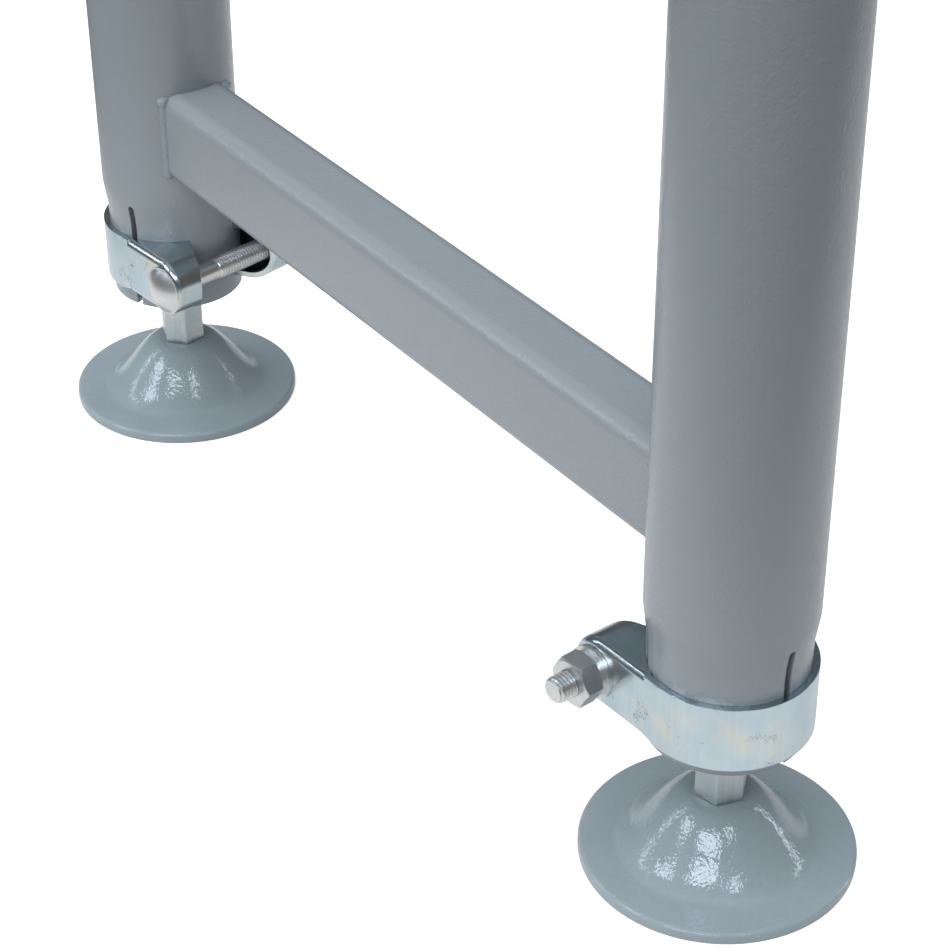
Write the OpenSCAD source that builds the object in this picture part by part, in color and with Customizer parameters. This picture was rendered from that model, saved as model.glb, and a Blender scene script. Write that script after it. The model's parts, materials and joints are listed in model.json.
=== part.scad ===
// Roller table: a short track of free-running rollers on two welded leg frames.
// Each leg telescopes: a pressed band clamp squeezes its slit lower end onto an inner tube,
// and a screwed foot under the inner tube levels the table.
// X runs along the track, Y across it and Z up, in millimetres.
// The origin is on the floor under the middle of the table, with the legs pushed in.

/* [Track] */
// Number of rollers
roller_count = 7; // [5:1:9]
// Distance between neighbouring rollers
roller_pitch = 150; // [120:5:180]
// From the last axle to the end of the rail
rail_end = 50; // [45:1:80]
// Height of the roller tops above the floor
roller_top = 700; // [640:5:900]
// How far the rollers stand above the rails
roller_rise = 10; // [4:1:18]

/* [Rollers] */
// Outer diameter of a roller
roller_d = 60; // [50:1:63]
// Wall of the roller tube
roller_wall = 2; // [1.5:0.1:3]
// Gap between a roller's end and the rail
roller_gap = 5; // [3:0.5:8]
// Diameter of the axle between the rails
axle_d = 15; // [13:0.5:17]
// Thread diameter of the axle's ends
axle_thread_d = 12; // [10:0.5:12]
// Outer diameter of the bearing's inner ring
ring_d = 21; // [20:0.5:24]
// Length of the bearing's inner ring
ring_l = 16; // [12:1:20]
// Depth of the bearing housing in the roller's end
housing_l = 13; // [11:1:16]

/* [Rails] */
// Height of a side rail
rail_h = 100; // [90:1:120]
// Width of the rail's flanges
rail_w = 40; // [36:1:50]
// Sheet thickness of rails and end ties
sheet_t = 4; // [3:0.5:5]
// Inner radius of every fold
fold_r = 2; // [1:0.5:4]
// How far a rail's web stands inside the leg axis
rail_set = 8.5; // [6:0.5:12]

/* [End ties] */
// Height of an end tie
tie_h = 60; // [56:1:66]
// Length of the tie's folded tabs along the rail
tie_tab = 38; // [34:1:44]
// Tie's lower edge above the rail's lower edge
tie_rise = 5; // [5:0.5:10]
// Sideways spacing of the coupling holes
coupling_y = 240; // [120:5:300]
// Upright spacing of the coupling holes
coupling_z = 30; // [24:1:34]
// Diameter of the coupling holes
coupling_d = 11; // [9:0.5:13]

/* [Leg frames] */
// From the end of the rail to the leg axis
leg_inset = 100; // [90:5:150]
// Distance between the two leg axes of a frame
leg_spacing = 387; // [330:1:500]
// Outer diameter of the outer leg tube
leg_d = 60.3; // [57:0.1:64]
// Wall of the outer leg tube
leg_wall = 3.2; // [2.6:0.1:3.6]
// Length of the drawn-in lower end
swage_l = 37.5; // [36:0.5:44]
// Length of the taper above it
taper_l = 17; // [14:0.5:24]
// Width of a slit
slit_w = 2.8; // [2:0.1:4]
// Length of a slit with its round tip
slit_l = 48.5; // [44:0.5:52]
// Number of slits in a leg
slit_count = 3; // [2:1:4]
// Height of the crossbar's section
bar_h = 40; // [30:1:50]
// Width of the crossbar's section
bar_w = 30; // [20:1:36]
// Wall of the crossbar
bar_wall = 2; // [1.5:0.1:3]
// Outer edge radius of the crossbar
bar_r = 6.5; // [4:0.1:8]
// Crossbar's underside above the leg's lower end
bar_rise = 63.5; // [62:0.5:90]
// Width of a head plate
head_w = 66; // [64:1:72]
// Thickness of a head plate
head_t = 6; // [4:0.5:8]
// From the leg's wall to a head plate's bolt
head_bolt_off = 12; // [11:0.5:16]
// From that bolt to the plate's end
head_edge = 15; // [13:0.5:20]

/* [Inner legs] */
// Outer diameter of the inner leg tube
inner_d = 50; // [48:0.1:51]
// Wall of the inner leg tube
inner_wall = 3; // [2:0.1:4]
// Gap all round between the inner leg and the drawn-in end
slide_gap = 0.3; // [0.2:0.05:0.5]
// How far the inner leg draws out
leg_travel = 200; // [100:10:250]
// How far it stays inside at full travel
leg_grip = 200; // [120:10:220]
// How far the inner leg's end is set back in the outer one
inner_recess = 1; // [0.5:0.5:2]
// Length of the threaded end plug
plug_l = 28; // [20:1:40]
// Thickness of the end plug's rim
plug_rim = 3; // [2:0.5:5]

/* [Feet] */
// Diameter of a foot plate
foot_d = 100; // [92:1:110]
// Height of the foot plate's dome
foot_h = 27.5; // [24:0.5:32]
// Sheet thickness of the foot plate
foot_t = 3.5; // [2.5:0.1:4]
// Width of the flat rim round the foot plate's dome
rim_w = 12; // [10:0.5:17]
// Top of the flat rim above the floor
rim_h = 4.6; // [4.2:0.1:6]
// Diameter of the flat on top of the dome
crown_d = 21; // [20.5:0.5:24]
// Width across flats of the spindle's hexagon
hex_af = 17; // [16.5:0.5:19]
// Length of the spindle's hexagon
hex_l = 31; // [24:1:44]
// Thread diameter of the spindle
spindle_d = 16; // [12:1:16]
// Length of the spindle's thread
spindle_l = 60; // [40:1:80]
// Diameter of the spindle's pivot in the foot plate
pivot_d = 12; // [8:0.5:13]

/* [Band clamps] */
// Width of the clamp band
clamp_w = 26; // [24:0.5:28]
// Sheet thickness of the clamp band
clamp_t = 2.5; // [2:0.1:3]
// From the leg axis to the clamp bolt
ear_l = 34.5; // [34.5:0.5:42]
// Where the ear's turned-in edge starts, from the leg axis
edge_start = 8.5; // [7:0.5:14]
// Depth of the turned-in edge beside the leg
edge_root = 21; // [16:0.5:23]
// Depth of the turned-in edge at the ear's end
edge_tip = 12.5; // [10:0.5:15]
// From the clamp bolt's axis to the ear's round end
ear_over = 11; // [10:0.5:14]
// Outer radius of the turned-in edge
edge_r = 3; // [2.6:0.1:4]
// Thread diameter of the clamp bolt
clamp_bolt_d = 10; // [8:0.5:10]
// Length of the clamp bolt under its head
clamp_bolt_l = 80; // [80:1:90]
// Length of the clamp bolt's plain shank
clamp_shank_l = 27; // [20:1:40]
// Diameter of the clamp bolt's domed head
dome_head_d = 21.5; // [18:0.5:24]
// Height of the clamp bolt's domed head
dome_head_h = 4; // [3:0.1:6]
// Clamp's lower edge above the leg's lower end, on the right leg of a frame
clamp_rise_right = 4; // [3:0.5:6]
// The same height on the left leg
clamp_rise_left = 7; // [5:0.5:9]
// Angle at which the ears lean outwards, on the two legs of a frame
ear_lean = [-1, 3];
// Turn of the clamp on the two legs of a frame
clamp_turn = [94.3, -81.1];
// Turn of the slits on the two legs of a frame
slit_turn = [-87, 84];
// Turn of the spindle's hexagon on the two legs of a frame
hex_turn = [42.3, 9.8];

/* [Fasteners] */
// Thread diameter of the frame bolts
frame_bolt_d = 10; // [8:0.5:10]
// Width of a nut across flats, as a share of the thread
nut_share = 1.7; // [1.6:0.02:1.8]
// Height of a nut, as a share of the thread
nut_h_share = 0.8; // [0.7:0.02:0.9]
// Width of a washer, as a share of the thread
washer_share = 2; // [1.9:0.02:2.2]
// Thickness of a flat washer
washer_t = 1.6; // [1.2:0.1:2]
// Thickness of a spring lock washer
lock_t = 1.6; // [1.2:0.1:2.2]

/* [Hidden] */
$fn = 72;

// Clearances and small steps
over = 1;            // how far a cut runs past a face
fit = 0.05;          // running clearance of a pin, a bearing or a thread, all round
seat_gap = 0.1;      // gap between a curved piece and the curved piece it's welded or clamped to
hole_gap = 0.5;      // extra radius of a bolt hole
chamfer = 1;         // chamfer on the ends of bolts and spindles
chamfer_in = 0.3;    // how far inside the flats a hexagon's chamfer starts
bolt_tip = 3;        // how far an axle or a frame bolt stands out of its nut
shank_share = 0.9;   // the clamp bolt's plain shank, as a share of its thread
run_out = 1.3;       // how deep the band's lower edge is dressed down where the ear starts
plate_r = 8;         // corner radius of a head plate
tie_bolt_in = 14;    // tie's lower edge to its lower bolts
tie_bolt_step = 22;  // tie's lower bolts to its upper bolts
split_w = 0.8;       // width of a lock washer's split
split_tilt = 20;     // slant of that split
skin_t = 2;          // sheet thickness of a bearing housing
hub_t = 3;           // wall of its hub
hub_set = 1;         // how much shorter the hub is than the housing
dish = 2;            // how far the housing's face is dished
rim_flat = 2;        // from the dome to where the foot plate's rim lies flat on the floor
lip_w = 1.5;         // how far a roller tube's rim turns in over the housing
lip_l = 1.5;         // thickness of that rim
head_share = 0.64;   // height of a hexagon head, as a share of the thread
rivet_h = 3;         // height of the spindle's spread end under the foot plate
rivet_over = 3;      // how far that end reaches past the pivot

// Heights
leg_z0 = foot_h + hex_l - inner_recess;
inner_z0 = leg_z0 + inner_recess;
rail_z1 = roller_top - roller_rise;
rail_z0 = rail_z1 - rail_h;
head_z0 = rail_z0 - head_t;
axle_z = roller_top - roller_d / 2;
bar_z0 = leg_z0 + bar_rise;
tie_z0 = rail_z0 + tie_rise;

// Diameter of a foot plate's dome where it meets the rim
dome_d = foot_d - 2 * rim_w;

// Places along and across the table
rail_l = (roller_count - 1) * roller_pitch + 2 * rail_end;
leg_x = rail_l / 2 - leg_inset;
web_y = leg_spacing / 2 - rail_set;
roller_l = 2 * (web_y - roller_gap);
head_bolt_x = leg_d + 2 * head_bolt_off;
head_l = head_bolt_x + 2 * head_edge;
head_bolt_y = web_y + (sheet_t + rail_w) / 2 - leg_spacing / 2;
tie_bolt_x = rail_l / 2 - tie_tab / 2;
tie_bolt_z = [tie_z0 + tie_bolt_in, tie_z0 + tie_bolt_in + tie_bolt_step];

// Leg tube and clamp radii
inner_r = inner_d / 2;
bore_r = inner_r + slide_gap;
swage_r = bore_r + leg_wall;
leg_r = leg_d / 2;
band_in = swage_r + seat_gap;
band_out = band_in + clamp_t;
clamp_rise = [clamp_rise_right, clamp_rise_left];
fold_out = fold_r + sheet_t;

// Fasteners
nut_af = clamp_bolt_d * nut_share;
nut_h = clamp_bolt_d * nut_h_share;
frame_af = frame_bolt_d * nut_share;
frame_nut_h = frame_bolt_d * nut_h_share;
frame_head_h = frame_bolt_d * head_share;
axle_af = axle_thread_d * nut_share;
axle_nut_h = axle_thread_d * nut_h_share;
ear_end_r = clamp_w / 2;
ear_end = ear_l + ear_over;
ear_centre = ear_end - ear_end_r;

function side(k) = (k == 1 || k == 3) ? 0 : 1;
function smooth(s) = s * s * (3 - 2 * s);
function lean(k) = ear_lean[side(k)];
// Distance of leg k's ear faces from the clamp's middle plane, over the width of a seat
function ear_seat(k, seat_d) = band_out / cos(lean(k))
    + (ear_l + sign(lean(k)) * seat_d / 2) * tan(lean(k));
function washer_seat(k) = ear_seat(k, clamp_bolt_d * washer_share);

// Legs 1 and 2 stand at -X and legs 3 and 4 are the same pair turned half round
module at_leg(k) {
    rotate([0, 0, k > 2 ? 180 : 0])
        translate([-leg_x, (side(k) == 0 ? -1 : 1) * leg_spacing / 2, 0])
            children();
}

// Clamp frame: X towards the bolt, Y along it from head to nut, Z from the band's lower edge
module at_clamp(k) {
    at_leg(k)
        translate([0, 0, leg_z0 + clamp_rise[side(k)]])
            rotate([0, 0, clamp_turn[side(k)]])
                children();
}

module at_clamp_bolt(k) {
    at_clamp(k)
        translate([ear_l, 0, clamp_w / 2])
            rotate([-90, 0, 0])
                children();
}

module at_roller(k) {
    translate([(k - (roller_count + 1) / 2) * roller_pitch, 0, axle_z])
        rotate([-90, 0, 0])
            children();
}

module on_both_ends() {
    for (turn = [0, 180])
        rotate([turn, 0, 0])
            children();
}

module tube(r_out, r_in, length) {
    difference() {
        cylinder(r = r_out, h = length);
        translate([0, 0, -over])
            cylinder(r = r_in, h = length + 2 * over);
    }
}

module hexagon(af, length) {
    cylinder(d = af / cos(30), h = length, $fn = 6);
}

// Hexagon with both ends chamfered at 30 degrees, from just inside the flats
module chamfered_hexagon(af, length) {
    flat_r = af / 2 - chamfer_in;
    corner_r = af / 2 / cos(30) + over;
    drop = (corner_r - flat_r) * tan(30);
    intersection() {
        hexagon(af, length);
        rotate_extrude()
            polygon([
                [0, 0], [flat_r, 0], [corner_r, drop],
                [corner_r, length - drop], [flat_r, length], [0, length]
            ]);
    }
}

module nut(af, height, thread_d) {
    difference() {
        chamfered_hexagon(af, height);
        translate([0, 0, -over])
            cylinder(d = thread_d + 2 * fit, h = height + 2 * over);
    }
}

module threaded_end(thread_d, length) {
    cylinder(d = thread_d, h = length - chamfer);
    translate([0, 0, length - chamfer])
        cylinder(d1 = thread_d, d2 = thread_d - 2 * chamfer, h = chamfer);
}

// Frame bolt from its bearing face down -Z, with its head above
module frame_bolt(stack) {
    chamfered_hexagon(frame_af, frame_head_h);
    mirror([0, 0, 1])
        threaded_end(frame_bolt_d, stack + washer_t + frame_nut_h + bolt_tip);
}

// Block with two rounded corners on its left side, drawn in the XY plane
module folded_block(w, h, r) {
    translate([r, 0])
        square([w - r, h]);
    translate([0, r])
        square([r, h - 2 * r]);
    for (y = [r, h - r])
        translate([r, y])
            circle(r = r);
}

// Channel folded from sheet: web on the Y axis, flanges towards +X
module channel(w, h) {
    difference() {
        folded_block(w, h, fold_out);
        translate([sheet_t, sheet_t])
            folded_block(w, h - 2 * sheet_t, fold_r);
    }
}

module rounded_rectangle(w, h, r) {
    square([w - 2 * r, h], center = true);
    square([w, h - 2 * r], center = true);
    for (x = [-1, 1], y = [-1, 1])
        translate([x * (w / 2 - r), y * (h / 2 - r)])
            circle(r = r);
}

// Side rail: outward-facing channel with its axle, tie and head plate holes
module side_rail() {
    color("#8f989f")
    difference() {
        translate([-rail_l / 2, web_y, rail_z0])
            rotate([90, 0, 90])
                linear_extrude(rail_l)
                    channel(rail_w, rail_h);
        for (k = [1:roller_count])
            at_roller(k)
                translate([0, 0, web_y - over])
                    cylinder(d = axle_thread_d + hole_gap, h = sheet_t + 2 * over);
        for (x = [-1, 1], z = tie_bolt_z)
            translate([x * tie_bolt_x, web_y - over, z])
                rotate([-90, 0, 0])
                    cylinder(d = frame_bolt_d + 2 * hole_gap, h = sheet_t + 2 * over);
        for (x = [-1, 1], dx = [-1, 1])
            translate([x * leg_x + dx * head_bolt_x / 2, leg_spacing / 2 + head_bolt_y, rail_z0 - over])
                cylinder(d = frame_bolt_d + 2 * hole_gap, h = sheet_t + 2 * over);
    }
}

module side_rail_left() { side_rail(); }

module side_rail_right() { mirror([0, 1, 0]) side_rail(); }

// End tie: channel lying between the rails, tabs folded back along their webs
module end_tie() {
    color("#8f989f")
    difference() {
        translate([-rail_l / 2, -web_y, tie_z0])
            linear_extrude(tie_h)
                channel(tie_tab, 2 * web_y);
        for (y = [-1, 1], z = tie_bolt_z)
            translate([-tie_bolt_x, y * (web_y - sheet_t / 2), z])
                rotate([90, 0, 0])
                    cylinder(d = frame_bolt_d + 2 * hole_gap, h = sheet_t + 2 * over, center = true);
        for (y = [-1, 1], z = [-1, 1])
            translate([-rail_l / 2 - over, y * coupling_y / 2, tie_z0 + tie_h / 2 + z * coupling_z / 2])
                rotate([0, 90, 0])
                    cylinder(d = coupling_d, h = sheet_t + 2 * over);
    }
}

module end_tie_near() { end_tie(); }

module end_tie_far() { mirror([1, 0, 0]) end_tie(); }

// Head plates: welded on the legs, bolted under the rails' lower flanges
module head_plates() {
    color("#8f989f")
    for (k = [1:4])
        at_leg(k)
            difference() {
                translate([0, 0, head_z0])
                    linear_extrude(head_t)
                        rounded_rectangle(head_l, head_w, plate_r);
                for (dx = [-1, 1])
                    translate([dx * head_bolt_x / 2, out_y(k) * head_bolt_y, head_z0 - over])
                        cylinder(d = frame_bolt_d + 2 * hole_gap, h = head_t + 2 * over);
            }
}

// Outward direction of leg k in its own frame
function out_y(k) = side(k) == 0 ? -1 : 1;

// Half section of the outer leg: straight drawn-in end, smooth taper, full tube
module leg_section() {
    steps = 8;
    outer = [for (i = [0:steps]) [
        swage_r + (leg_r - swage_r) * smooth(i / steps),
        leg_z0 + swage_l + taper_l * i / steps
    ]];
    inner = [for (i = [steps:-1:0]) outer[i] - [leg_wall, 0]];
    polygon(concat(
        [[swage_r - leg_wall, leg_z0], [swage_r, leg_z0]],
        outer,
        [[leg_r, head_z0], [leg_r - leg_wall, head_z0]],
        inner
    ));
}

// Outer leg tube, slit from its lower end so that the clamp can squeeze it
module leg_tube(k) {
    color("#949da4")
    at_leg(k)
        difference() {
            rotate_extrude()
                leg_section();
            for (i = [0:slit_count - 1])
                rotate([0, 0, slit_turn[side(k)] + i * 360 / slit_count]) {
                    translate([bore_r / 2, -slit_w / 2, leg_z0 - over])
                        cube([leg_r, slit_w, slit_l - slit_w / 2 + over]);
                    translate([bore_r / 2, 0, leg_z0 + slit_l - slit_w / 2])
                        rotate([0, 90, 0])
                            cylinder(d = slit_w, h = leg_r);
                }
        }
}

// Crossbar: rectangular tube whose ends are cut to the round of the legs
module crossbar() {
    color("#949da4")
    difference() {
        translate([-leg_x, leg_spacing / 2, bar_z0 + bar_h / 2])
            rotate([90, 0, 0])
                linear_extrude(leg_spacing)
                    difference() {
                        rounded_rectangle(bar_w, bar_h, bar_r);
                        rounded_rectangle(bar_w - 2 * bar_wall, bar_h - 2 * bar_wall, bar_r - bar_wall);
                    }
        for (k = [1, 2])
            at_leg(k)
                translate([0, 0, bar_z0 - over])
                    cylinder(r = leg_r + seat_gap, h = bar_h + 2 * over);
    }
}

module crossbar_near() { crossbar(); }

module crossbar_far() { rotate([0, 0, 180]) crossbar(); }

// Flat bar from x = start to a full-round end about x = centre, z = 0 to depth, upper edge rounded
module round_ended_bar(start, centre, half, depth, r) {
    module edge_section() {
        square([half, depth - r]);
        square([half - r, depth]);
        translate([half - r, depth - r])
            circle(r = r);
    }
    translate([start, 0, 0])
        rotate([90, 0, 90])
            linear_extrude(centre - start) {
                edge_section();
                mirror([1, 0])
                    edge_section();
            }
    translate([centre, 0, 0])
        rotate([0, 0, -90])
            rotate_extrude(angle = 180)
                edge_section();
}

// One ear: flat strip that leaves the band on a tangent, then a shallow pressed cup
// whose top, end and bottom edges are turned in towards the other ear
module clamp_ear(k) {
    floor_y = band_out - edge_root;
    rotate([0, 0, lean(k)]) {
        difference() {
            translate([0, band_in, 0])
                cube([edge_start, clamp_t, clamp_w]);
            translate([over, band_out, 0])
                rotate([45, 0, 0])
                    rotate([0, -atan(run_out / (edge_start - over)), 0])
                        translate([-over, -2 * clamp_t, -2 * clamp_t])
                            cube([2 * edge_start, 4 * clamp_t, 2 * clamp_t]);
        }
        difference() {
            translate([0, floor_y, clamp_w / 2])
                rotate([-90, 0, 0])
                    difference() {
                        round_ended_bar(edge_start, ear_centre, ear_end_r, edge_root, edge_r);
                        translate([0, 0, -over])
                            round_ended_bar(edge_start - over, ear_centre, ear_end_r - clamp_t,
                                edge_root - clamp_t + over, edge_r - clamp_t);
                    }
            translate([0, 0, -over])
                linear_extrude(clamp_w + 2 * over)
                    polygon([
                        [bore_r, floor_y], [ear_end + over, band_out - edge_tip],
                        [ear_end + over, floor_y - over], [bore_r, floor_y - over]
                    ]);
        }
    }
}

// Band clamp: half ring round the drawn-in end, with an ear on each side
module clamp_band(k) {
    color("#c3ccd0")
    at_clamp(k)
        difference() {
            union() {
                rotate([0, 0, 90 + lean(k)])
                    rotate_extrude(angle = 180 - 2 * lean(k))
                        translate([band_in, 0])
                            square([clamp_t, clamp_w]);
                clamp_ear(k);
                mirror([0, 1, 0])
                    clamp_ear(k);
            }
            translate([0, 0, -over])
                cylinder(r = band_in, h = clamp_w + 2 * over);
            translate([ear_l, 0, clamp_w / 2])
                rotate([90, 0, 0])
                    cylinder(d = clamp_bolt_d + 2 * hole_gap, h = 4 * band_out, center = true);
        }
}

// Clamp bolt: domed head against one ear, thread through the nut at the other
module clamp_bolts() {
    cap_r = (pow(dome_head_d / 2, 2) + pow(dome_head_h, 2)) / (2 * dome_head_h);
    color("#c9ced0")
    for (k = [1:4])
        at_clamp_bolt(k)
            translate([0, 0, -ear_seat(k, dome_head_d)]) {
                intersection() {
                    translate([0, 0, cap_r - dome_head_h])
                        sphere(r = cap_r);
                    translate([0, 0, -dome_head_h])
                        cylinder(d = dome_head_d, h = dome_head_h);
                }
                cylinder(d = clamp_bolt_d * shank_share, h = clamp_shank_l + over);
                translate([0, 0, clamp_shank_l])
                    threaded_end(clamp_bolt_d, clamp_bolt_l - clamp_shank_l);
            }
}

module clamp_washers() {
    color("#c9ced0")
    for (k = [1:4])
        at_clamp_bolt(k)
            translate([0, 0, washer_seat(k)])
                tube(clamp_bolt_d * washer_share / 2, clamp_bolt_d / 2 + hole_gap / 2, washer_t);
}

// Spring lock washer with its slanting split
module clamp_lock_washers() {
    color("#c9ced0")
    for (k = [1:4])
        at_clamp_bolt(k)
            translate([0, 0, washer_seat(k) + washer_t])
                difference() {
                    tube(nut_af / 2, clamp_bolt_d / 2 + fit, lock_t);
                    rotate([0, split_tilt, 0])
                        translate([0, -split_w / 2, -over])
                            cube([nut_af, split_w, lock_t + 3 * over]);
                }
}

module clamp_nuts() {
    color("#c9ced0")
    for (k = [1:4])
        at_clamp_bolt(k)
            translate([0, 0, washer_seat(k) + washer_t + lock_t])
                nut(nut_af, nut_h, clamp_bolt_d);
}

// Roller axle: shouldered between the rails, threaded through their webs
module roller_axles() {
    thread_l = sheet_t + washer_t + axle_nut_h + bolt_tip;
    color("#b9bec0")
    for (k = [1:roller_count])
        at_roller(k) {
            cylinder(d = axle_d, h = 2 * web_y, center = true);
            on_both_ends()
                translate([0, 0, web_y])
                    threaded_end(axle_thread_d, thread_l);
        }
}

module axle_washers() {
    color("#c9ced0")
    for (k = [1:roller_count])
        at_roller(k)
            on_both_ends()
                translate([0, 0, web_y + sheet_t])
                    tube(axle_thread_d * washer_share / 2, axle_thread_d / 2 + hole_gap / 2, washer_t);
}

module axle_nuts() {
    color("#c9ced0")
    for (k = [1:roller_count])
        at_roller(k)
            on_both_ends()
                translate([0, 0, web_y + sheet_t + washer_t])
                    nut(axle_af, axle_nut_h, axle_thread_d);
}

// Bearing inner ring: stands on the axle, against the rail's web
module bearing_inner_rings() {
    color("#b9bec0")
    for (k = [1:roller_count])
        at_roller(k)
            on_both_ends()
                translate([0, 0, web_y - ring_l])
                    tube(ring_d / 2, axle_d / 2 + fit, ring_l);
}

// Roller tube with its rims turned in over the bearing housings
module roller_tube(k) {
    r = roller_d / 2;
    round_r = lip_l;
    color("#b4babd")
    at_roller(k)
        difference() {
            union() {
                cylinder(r = r, h = roller_l - 2 * round_r, center = true);
                on_both_ends()
                    translate([0, 0, roller_l / 2 - round_r])
                        rotate_extrude() {
                            square([r - round_r, round_r]);
                            intersection() {
                                translate([r - round_r, 0])
                                    circle(r = round_r);
                                translate([r - round_r, 0])
                                    square(round_r);
                            }
                        }
            }
            cylinder(r = r - roller_wall, h = roller_l - 2 * lip_l, center = true);
            cylinder(r = r - roller_wall - lip_w, h = roller_l + 2 * over, center = true);
        }
}

// Bearing housings: pressed cups in both ends of a roller, dished towards the hub
module roller_housings(k) {
    r = roller_d / 2 - roller_wall - fit;
    hub_in = ring_d / 2 + fit;
    hub_out = hub_in + hub_t;
    color("#7d8489")
    at_roller(k)
        on_both_ends()
            translate([0, 0, roller_l / 2 - lip_l])
                rotate_extrude()
                    polygon([
                        [r, 0], [r, -housing_l], [r - skin_t, -housing_l], [r - skin_t, -skin_t],
                        [hub_out, -skin_t - dish], [hub_out, hub_set - housing_l],
                        [hub_in, hub_set - housing_l], [hub_in, -dish / 2], [hub_out, -dish / 2],
                        [hub_out + dish, -dish], [r - skin_t - dish, -dish / 2], [r - skin_t, 0]
                    ]);
}

// Hexagon bolts that hold the head plates and the end ties to the rails
module on_frame_bolts() {
    for (k = [1:4], dx = [-1, 1])
        at_leg(k)
            translate([dx * head_bolt_x / 2, out_y(k) * head_bolt_y, rail_z0 + sheet_t])
                frame_bolt_place(sheet_t + head_t)
                    children();
    for (x = [-1, 1], y = [-1, 1], z = tie_bolt_z)
        translate([x * tie_bolt_x, y * (web_y - sheet_t), z])
            rotate([y * 90, 0, 0])
                frame_bolt_place(2 * sheet_t)
                    children();
}

// Sets $stack, the thickness that a bolt holds together
module frame_bolt_place(stack) {
    $stack = stack;
    children();
}

module frame_bolts() {
    color("#c9ced0")
    on_frame_bolts()
        frame_bolt($stack);
}

module frame_washers() {
    color("#c9ced0")
    on_frame_bolts()
        translate([0, 0, -$stack - washer_t])
            tube(frame_bolt_d * washer_share / 2, frame_bolt_d / 2 + hole_gap / 2, washer_t);
}

module frame_nuts() {
    color("#c9ced0")
    on_frame_bolts()
        translate([0, 0, -$stack - washer_t - frame_nut_h])
            nut(frame_af, frame_nut_h, frame_bolt_d);
}

// Inner leg tube, which the clamp grips
module inner_tube(k) {
    color("#a9aeb1")
    at_leg(k)
        translate([0, 0, inner_z0 + plug_rim])
            tube(inner_r, inner_r - inner_wall, leg_travel + leg_grip - plug_rim);
}

// End plug: threaded for the spindle, its rim covers the inner tube's end
module end_plug(k) {
    color("#8b9094")
    at_leg(k)
        translate([0, 0, inner_z0])
            difference() {
                union() {
                    cylinder(r = inner_r - seat_gap, h = plug_rim);
                    cylinder(r = inner_r - inner_wall - fit, h = plug_l);
                }
                translate([0, 0, -over])
                    cylinder(d = spindle_d + 2 * fit, h = plug_l + 2 * over);
            }
}

// Half section of the foot plate's upper side, from the crown out to the flat rim
function dome_line(lower, steps) = [for (i = [0:steps])
    let (s = i / steps)
    [crown_d / 2 + (dome_d - crown_d) / 2 * s, rim_h + (foot_h - rim_h) * (1 - smooth(s)) - lower]
];

// Foot plate: bell pressed from thick sheet, with a flat rim and a rounded outer edge
module foot_plate(k) {
    steps = 12;
    edge = rim_h / 2;
    color("#8fa0aa")
    at_leg(k)
        rotate_extrude()
            polygon(concat(
                dome_line(0, steps),
                [for (a = [90:-15:-90]) [foot_d / 2 - edge + edge * cos(a), edge + edge * sin(a)]],
                [[dome_d / 2 + rim_flat, 0]],
                [for (i = [steps:-1:0]) dome_line(foot_t, steps)[i]],
                [[pivot_d / 2, foot_h - foot_t], [pivot_d / 2, foot_h]]
            ));
}

// Levelling spindle: pivot and spread end in the foot plate, hexagon, then thread
module foot_spindle(k) {
    rivet_z1 = foot_h - foot_t - 2 * fit;
    color("#c2c7c8")
    at_leg(k) {
        translate([0, 0, rivet_z1 - rivet_h])
            cylinder(d = pivot_d + 2 * rivet_over, h = rivet_h);
        translate([0, 0, rivet_z1 - over])
            cylinder(d = pivot_d - 2 * fit, h = foot_h - rivet_z1 + 2 * over);
        translate([0, 0, foot_h])
            rotate([0, 0, hex_turn[side(k)]])
                hexagon(hex_af, hex_l);
        translate([0, 0, inner_z0 - over])
            threaded_end(spindle_d, spindle_l + over);
    }
}

side_rail_left();
side_rail_right();
end_tie_near();
end_tie_far();
head_plates();
crossbar_near();
crossbar_far();
clamp_bolts();
clamp_nuts();
clamp_washers();
clamp_lock_washers();
roller_axles();
axle_nuts();
axle_washers();
bearing_inner_rings();
frame_bolts();
frame_nuts();
frame_washers();
for (k = [1:4]) {
    leg_tube(k);
    clamp_band(k);
    inner_tube(k);
    end_plug(k);
    foot_plate(k);
    foot_spindle(k);
}
for (k = [1:roller_count]) {
    roller_tube(k);
    roller_housings(k);
}
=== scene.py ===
import json
import math

import bpy
import numpy as np
from mathutils import Matrix, Vector

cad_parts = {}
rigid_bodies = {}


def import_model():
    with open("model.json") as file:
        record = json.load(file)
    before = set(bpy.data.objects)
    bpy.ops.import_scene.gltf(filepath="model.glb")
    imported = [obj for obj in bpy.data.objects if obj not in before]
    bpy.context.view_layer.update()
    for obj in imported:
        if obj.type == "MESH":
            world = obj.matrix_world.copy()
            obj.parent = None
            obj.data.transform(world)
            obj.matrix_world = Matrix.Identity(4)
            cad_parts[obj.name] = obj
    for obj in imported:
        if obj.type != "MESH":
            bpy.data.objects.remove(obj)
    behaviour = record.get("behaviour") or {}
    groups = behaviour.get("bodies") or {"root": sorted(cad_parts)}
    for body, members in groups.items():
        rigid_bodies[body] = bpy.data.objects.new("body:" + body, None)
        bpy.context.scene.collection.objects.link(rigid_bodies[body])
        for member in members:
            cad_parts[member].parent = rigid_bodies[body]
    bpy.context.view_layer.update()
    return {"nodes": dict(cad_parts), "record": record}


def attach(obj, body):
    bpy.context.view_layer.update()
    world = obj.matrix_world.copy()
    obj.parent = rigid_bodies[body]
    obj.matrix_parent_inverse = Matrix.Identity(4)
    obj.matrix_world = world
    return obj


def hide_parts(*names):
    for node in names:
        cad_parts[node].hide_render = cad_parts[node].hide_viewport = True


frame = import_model()
scene = bpy.context.scene
scene.view_settings.view_transform = "Standard"
print("frame loaded:", len(frame["nodes"]), "nodes")

mm = 0.001
fullTurn = 2 * np.pi

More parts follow.
